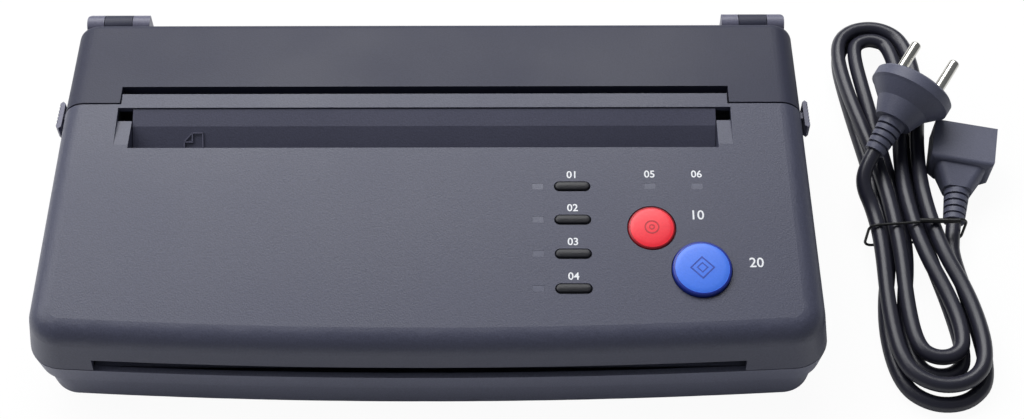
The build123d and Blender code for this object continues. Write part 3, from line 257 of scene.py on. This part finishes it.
# colour from 0 to 255 and roughness, then grain scale, speck, bump and metal
matSet = {
    # the first five are one black plastic, each copy with its part's light and shade painted into the
    # colour: the lid darker, the base, rear wall, hinge housings and latches lighter, the panel and
    # ramp between
    "panel": ((66, 68, 86), 0.44),
    "lid": ((39, 41, 60), 0.6),
    "base": ((94, 96, 114), 0.46),
    "ramp": ((68, 69, 87), 0.5),
    "ear": ((94, 94, 113), 0.44),
    "black": ((9, 10, 20), 0.46, 1200),
    "blueFace": ((64, 116, 226), 0.38, 900, 0.15, 0.1),
    "blueRim": ((24, 44, 140), 0.36, 900, 0.15, 0.1),
    "redFace": ((238, 44, 60), 0.38, 900, 0.15, 0.1),
    "redRim": ((150, 22, 34), 0.36, 900, 0.15, 0.1),
    "blueMark": ((30, 62, 160), 0.42, 900, 0.15, 0.1),
    "redMark": ((170, 26, 40), 0.42, 900, 0.15, 0.1),
    "window": ((86, 88, 104), 0.26, 600, 0.1, 0.05),
    "board": ((44, 90, 60), 0.4, 500, 0.2, 0.1),
    "white": ((224, 224, 220), 0.45, 700, 0.2, 0.1),
    "steel": ((170, 173, 178), 0.35, 420, 0.3, 0.1, 1.0),
    "aluminium": ((184, 186, 189), 0.4, 420, 0.3, 0.1, 1.0),
    "nickel": ((200, 198, 192), 0.2, 300, 0.2, 0.05, 1.0),
    "rubber": ((82, 84, 102), 0.5, 1600, 0.4, 0.3),
    "cord": ((36, 36, 48), 0.34, 1100, 0.3, 0.15),
    "tie": ((12, 12, 14), 0.4, 1100, 0.3, 0.15),
    "glass": ((190, 205, 205), 0.08, 300, 0.1, 0.02),
    "print": ((228, 230, 234), 0.5, 900, 0.1, 0.05),
}
mats = {name: makeMat(name + "Mat", *values) for name, values in matSet.items()}
# the nodes of each material, the shells sharing one black plastic in copies with light and shade
# painted in; what isn't listed is bare steel
nodesOf = {
    "panel": ["front_cover"],
    "lid": ["rear_cover"],
    "base": ["base_tray", "rear_wall"],
    "ramp": ["document_ramp"],
    "ear": ["hinge_housing_left", "hinge_housing_right",
            "release_latch_left", "release_latch_right"],
    "black": ["switch_housing", "power_inlet", "tact_switches", "image_sensor",
              "main_board_parts", "power_board_parts", "switch_rocker",
              "mode_key_1", "mode_key_2", "mode_key_3", "mode_key_4"],
    "blueFace": ["copy_button"],
    "redFace": ["stop_button"],
    "window": ["light_windows", "indicator_lamps"],
    "board": ["key_board", "main_board", "power_board"],
    "white": ["backing_plate", "feed_gear", "platen_gear", "reduction_gear", "motor_pinion",
              "shaft_bushes", "thermal_head"],
    "aluminium": ["heat_sink"],
    "glass": ["sensor_glass"],
    "rubber": ["platen_roller", "feed_rollers", "rubber_feet", "mains_plug", "cord_connector"],
    "cord": ["mains_cord"],
    "tie": ["twist_tie"],
    "nickel": ["plug_pins", "inlet_pins"],
}
matOf = {node: finish for finish, listed in nodesOf.items() for node in listed}
# least angle of an edge that stays sharp, on the nodes and on the pieces made here
sharpNodes, sharpPieces = 28, 35
for name, ob in nodes.items():
    ob.data.materials.clear()
    ob.data.materials.append(mats[matOf.get(name, "steel")])
    ob.data.shade_smooth()
    ob.data.set_sharp_from_angle(angle=math.radians(sharpNodes))
    weigh = ob.modifiers.new("weigh", "WEIGHTED_NORMAL")
    weigh.keep_sharp = True
    weigh.weight = 100
lead.data.materials.append(mats["cord"])
print("materials done")

# the sizes from here on are in millimetres
mm = 0.001
panelSet = {"front": -83.4, "z": 48.4, "slope": 8.5}      # its front edge and its tilt


def onPanel(x, y):
    s = panelSet
    return (x * mm, y * mm, (s["z"] + (y - s["front"]) * math.tan(math.radians(s["slope"]))) * mm)


def editAll():
    bpy.ops.object.mode_set(mode="EDIT")
    bpy.ops.mesh.select_mode(type="VERT")
    bpy.ops.mesh.select_all(action="SELECT")


def pickVerts(ob, test):
    bpy.ops.object.mode_set(mode="EDIT")
    bpy.ops.mesh.select_all(action="DESELECT")
    bpy.ops.object.mode_set(mode="OBJECT")
    for v in ob.data.vertices:
        v.select = test(v.co)
    bpy.ops.object.mode_set(mode="EDIT")


def turnPiece(name, steps, count):
    # round piece along Z from radius and height steps in mm, closed at both ends
    bpy.ops.object.select_all(action="DESELECT")
    r, z = steps[0]
    bpy.ops.mesh.primitive_circle_add(vertices=count, radius=r * mm, fill_type="NGON")
    ob = bpy.context.object
    ob.name = name
    editAll()
    bpy.ops.transform.translate(value=(0, 0, z * mm))
    for r2, z2 in steps[1:]:
        bpy.ops.mesh.extrude_region_move(TRANSFORM_OT_translate={"value": (0, 0, (z2 - z) * mm)})
        if r2 != r:
            bpy.ops.transform.resize(value=(r2 / r, r2 / r, 1), center_override=(0, 0, 0))
        r, z = r2, z2
    bpy.ops.mesh.select_all(action="SELECT")
    bpy.ops.mesh.normals_make_consistent(inside=False)
    bpy.ops.object.mode_set(mode="OBJECT")
    return ob


def boxPiece(name, size, place):
    bpy.ops.object.select_all(action="DESELECT")
    bpy.ops.mesh.primitive_cube_add(size=1)
    ob = bpy.context.object
    ob.name = name
    editAll()
    bpy.ops.transform.resize(value=[s * mm for s in size], center_override=(0, 0, 0))
    bpy.ops.transform.translate(value=[p * mm for p in place])
    bpy.ops.object.mode_set(mode="OBJECT")
    return ob


def settle(ob, place, tilt):
    # tip the finished mesh about X and carry it to its place, the object staying at the origin
    bpy.ops.object.select_all(action="DESELECT")
    ob.select_set(True)
    bpy.context.view_layer.objects.active = ob
    editAll()
    bpy.ops.transform.rotate(value=-math.radians(tilt), orient_axis="X", center_override=(0, 0, 0))
    bpy.ops.transform.translate(value=place)
    bpy.ops.object.mode_set(mode="OBJECT")


def finishPiece(ob, matNames, body, nodeNames=(), pick=None):
    for m in matNames:
        ob.data.materials.append(mats[m])
    if pick:
        for p in ob.data.polygons:
            p.material_index = pick(p.center)
    ob.data.shade_smooth()
    ob.data.set_sharp_from_angle(angle=math.radians(sharpPieces))
    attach(ob, body)
    if nodeNames:
        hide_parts(*nodeNames)


def joinPieces(obs):
    bpy.ops.object.select_all(action="DESELECT")
    for o in obs:
        o.select_set(True)
    bpy.context.view_layer.objects.active = obs[0]
    bpy.ops.object.join()
    return bpy.context.object


# keys and buttons stand on a wider foot under the panel, from low to high
footSet = {"reach": 1.6, "low": -3.6, "high": -2.7}


def footSteps(r):
    return [(r + footSet["reach"], footSet["low"]), (r + footSet["reach"], footSet["high"]),
            (r, footSet["high"])]


keySet = {"x": 58.6, "first": -56.2, "pitch": 15.2, "count": 4, "long": 14.2, "wide": 3.8,
          "rise": 0.8, "sides": 32}


def makeKeys(s):
    r, top = s["wide"] / 2, s["rise"]
    reach = (s["long"] - s["wide"]) / 2 * mm
    steps = footSteps(r) + [(r, top - 0.55), (r - 0.1, top - 0.28), (r - 0.3, top - 0.08),
                            (r - 0.6, top), (r - 1.2, top + 0.1), (0.15, top + 0.16)]
    for i in range(s["count"]):
        key = turnPiece(f"modeKeyCap{i + 1}", steps, s["sides"])
        # the round cap is drawn out to a long one
        pickVerts(key, lambda c: c.x > 1e-7)
        bpy.ops.transform.translate(value=(reach, 0, 0))
        pickVerts(key, lambda c: c.x < -1e-7)
        bpy.ops.transform.translate(value=(-reach, 0, 0))
        bpy.ops.object.mode_set(mode="OBJECT")
        settle(key, onPanel(s["x"], s["first"] + i * s["pitch"]), panelSet["slope"])
        finishPiece(key, ["black"], f"mode_key_{i + 1}", [f"mode_key_{i + 1}"])


# each mark's name, sides, outer and inner radius
buttonSet = {"stop": {"x": 90.5, "y": -29.6, "r": 9.6, "rise": 0.6, "face": 8.75, "dome": 0.45,
                      "colour": "red",
                      "marks": (("stopRing", 48, 3.0, 2.45), ("stopDot", 32, 1.2, 0.7))},
             "copy": {"x": 109.8, "y": -48.2, "r": 11.9, "rise": 2.0, "face": 10.9, "dome": 0.5,
                      "colour": "blue",
                      "marks": (("copyDiamond", 4, 5.0, 4.45), ("copySquare", 4, 2.4, 1.9))}}
capSides = 72
markSet = {"high": 0.12, "seat": 0.82}      # its height, and its seat as a share of the dome


def makeCap(name, s):
    r, top, face, dome = s["r"], s["rise"], s["face"], s["dome"]
    steps = footSteps(r) + [(r, top - 0.75), (r - 0.12, top - 0.4), (r - 0.4, top - 0.12)]
    # a fine groove round the domed face
    steps += [(face, top), (face - 0.12, top - 0.1), (face - 0.3, top - 0.02)]
    steps += [(face * share, top + dome * height)
              for share, height in ((0.8, 0.4), (0.55, 0.72), (0.3, 0.93), (0.1, 1))]
    cap = turnPiece(name + "Cap", steps, capSides)
    faceR = (face - 0.05) * mm
    finishPiece(cap, [s["colour"] + "Rim", s["colour"] + "Face"], name + "_button",
                [name + "_button"],
                lambda c: 1 if math.hypot(c.x, c.y) < faceR and c.z > 0 else 0)
    settle(cap, onPanel(s["x"], s["y"]), panelSet["slope"])


def makeMark(name, s, sides, outer, inner):
    # thin raised ring with few or many sides on a button's face
    bpy.ops.object.select_all(action="DESELECT")
    bpy.ops.mesh.primitive_circle_add(vertices=sides, radius=outer * mm, fill_type="NGON")
    ob = bpy.context.object
    ob.name = name
    editAll()
    bpy.ops.mesh.inset(thickness=(outer - inner) * mm, depth=0)
    bpy.ops.mesh.delete(type="ONLY_FACE")
    bpy.ops.mesh.select_all(action="SELECT")
    bpy.ops.mesh.extrude_region_move(TRANSFORM_OT_translate={"value": (0, 0, markSet["high"] * mm)})
    bpy.ops.mesh.select_all(action="SELECT")
    bpy.ops.mesh.normals_make_consistent(inside=False)
    bpy.ops.transform.translate(value=(0, 0, (s["rise"] + s["dome"] * markSet["seat"]) * mm))
    bpy.ops.object.mode_set(mode="OBJECT")
    settle(ob, onPanel(s["x"], s["y"]), panelSet["slope"])
    return ob


makeKeys(keySet)
for name, s in buttonSet.items():
    makeCap(name, s)
    mark = joinPieces([makeMark(ring, s, *sizes) for ring, *sizes in s["marks"]])
    finishPiece(mark, [s["colour"] + "Mark"], name + "_button")
print("keys and buttons done")

labelSet = {"small": 3.4, "large": 4.4, "overKey": 5.2, "row": -5.2, "scale": 1.35,
            "bold": 0.06, "thick": 0.01, "lift": 0.04}


def labelPlaces(s):
    # text, x, y and size; the keys count up from the rear
    places = [(f"0{keySet['count'] - i}", keySet["x"],
               keySet["first"] + i * keySet["pitch"] + s["overKey"], s["small"])
              for i in range(keySet["count"])]
    places += [("05", buttonSet["stop"]["x"], s["row"], s["small"]),
               ("06", buttonSet["copy"]["x"], s["row"], s["small"])]
    return places + [("10", 109.1, -24.0, s["large"]), ("20", 131.8, -45.2, s["large"])]


def makeLabels(s):
    made = []
    for text, x, y, size in labelPlaces(s):
        bpy.ops.object.select_all(action="DESELECT")
        bpy.ops.object.text_add(location=(0, 0, 0))
        ob = bpy.context.object
        ob.data.body = text
        ob.data.size = size * s["scale"] * mm
        ob.data.align_x = "CENTER"
        ob.data.align_y = "CENTER"
        ob.data.offset = s["bold"] * mm
        ob.data.extrude = s["thick"] * mm
        ob.data.resolution_u = 4
        bpy.ops.object.convert(target="MESH")
        ob = bpy.context.object
        editAll()
        bpy.ops.transform.translate(value=(0, 0, s["lift"] * mm))
        bpy.ops.object.mode_set(mode="OBJECT")
        settle(ob, onPanel(x, y), panelSet["slope"])
        made.append(ob)
    ob = joinPieces(made)
    ob.name = "panelNumbers"
    finishPiece(ob, ["print"], "machine")


makeLabels(labelSet)
print("labels done")

# page icon on the ramp: each bar's size and middle, then the folded corner with its turn
iconSet = {"x": -100.2, "y": 14.4, "z": 56.45, "tilt": 40.4, "high": 0.45,
           "bars": [((0.5, 9.6), (3.9, -0.4)), ((0.5, 6.0), (-3.9, -2.2)), ((8.3, 0.5), (0, -5.2)),
                    ((4.6, 0.5), (1.85, 4.4)), ((0.5, 3.8), (-0.45, 2.5)), ((3.9, 0.5), (-2.1, 0.6))],
           "fold": ((0.5, 5.2), (-2.3, 2.5), -43)}


def makeIcon(s):
    parts = [boxPiece("iconBar", (w, h, s["high"]), (x, y, s["high"] / 2))
             for (w, h), (x, y) in s["bars"]]
    (w, h), (x, y), turn = s["fold"]
    fold = boxPiece("iconFold", (w, h, s["high"]), (0, 0, s["high"] / 2))
    editAll()
    bpy.ops.transform.rotate(value=-math.radians(turn), orient_axis="Z",
                             center_override=(0, 0, 0))
    bpy.ops.transform.translate(value=(x * mm, y * mm, 0))
    bpy.ops.object.mode_set(mode="OBJECT")
    ob = joinPieces(parts + [fold])
    ob.name = "pageIcon"
    settle(ob, (s["x"] * mm, s["y"] * mm, s["z"] * mm), s["tilt"])
    # the icon takes the hinge housings' copy of the plastic, made lighter with painted light
    finishPiece(ob, ["ear"], "machine")


makeIcon(iconSet)
print("icon done")


# world colour and strength; each light's place, aim, size and power
stageSet = {"world": (0.92, 0.96, 1.0, 0.2), "size": 14, "floor": 0.9, "rough": 0.95,
            "clean": 0.95,
            "lights": {"topSoft": ((-0.2, 0.85, 1.25), (0, 0, 0), (1.6, 0.9), 29),
                       "leftSoft": ((-1.1, 0.15, 0.9), (-0.1, 0, 0), (0.7, 0.9), 7)}}


def makeStage(s):
    bpy.ops.mesh.primitive_plane_add(size=s["size"])
    floor = bpy.context.object
    floor.name = "floor"
    mat = bpy.data.materials.new("floorMat")
    mat.use_nodes = True
    tree = mat.node_tree
    shader = tree.nodes["Principled BSDF"]
    shader.inputs["Base Color"].default_value = (s["floor"], s["floor"], s["floor"], 1)
    shader.inputs["Roughness"].default_value = s["rough"]
    shader.inputs["Specular IOR Level"].default_value = 0
    # the camera sees mostly plain white, other rays see the lit floor
    white = tree.nodes.new("ShaderNodeEmission")
    path = tree.nodes.new("ShaderNodeLightPath")
    share = tree.nodes.new("ShaderNodeMath")
    share.operation = "MULTIPLY"
    share.inputs[1].default_value = s["clean"]
    mix = tree.nodes.new("ShaderNodeMixShader")
    tree.links.new(path.outputs["Is Camera Ray"], share.inputs[0])
    tree.links.new(share.outputs[0], mix.inputs[0])
    tree.links.new(shader.outputs[0], mix.inputs[1])
    tree.links.new(white.outputs[0], mix.inputs[2])
    tree.links.new(mix.outputs[0], tree.nodes["Material Output"].inputs["Surface"])
    floor.data.materials.append(mat)
    world = bpy.data.worlds.new("studio")
    scene.world = world
    world.use_nodes = True
    back = world.node_tree.nodes["Background"]
    back.inputs["Color"].default_value = (*s["world"][:3], 1)
    back.inputs["Strength"].default_value = s["world"][3]
    for name, (place, aim, size, power) in s["lights"].items():
        bpy.ops.object.light_add(type="AREA", location=place)
        light = bpy.context.object
        light.name = name
        light.data.shape = "RECTANGLE"
        light.data.size, light.data.size_y = size
        light.data.energy = power
        light.rotation_euler = (Vector(aim) - Vector(place)).to_track_quat("-Z", "Y").to_euler()


makeStage(stageSet)
scene.view_settings.view_transform = "Standard"
print("stage done")
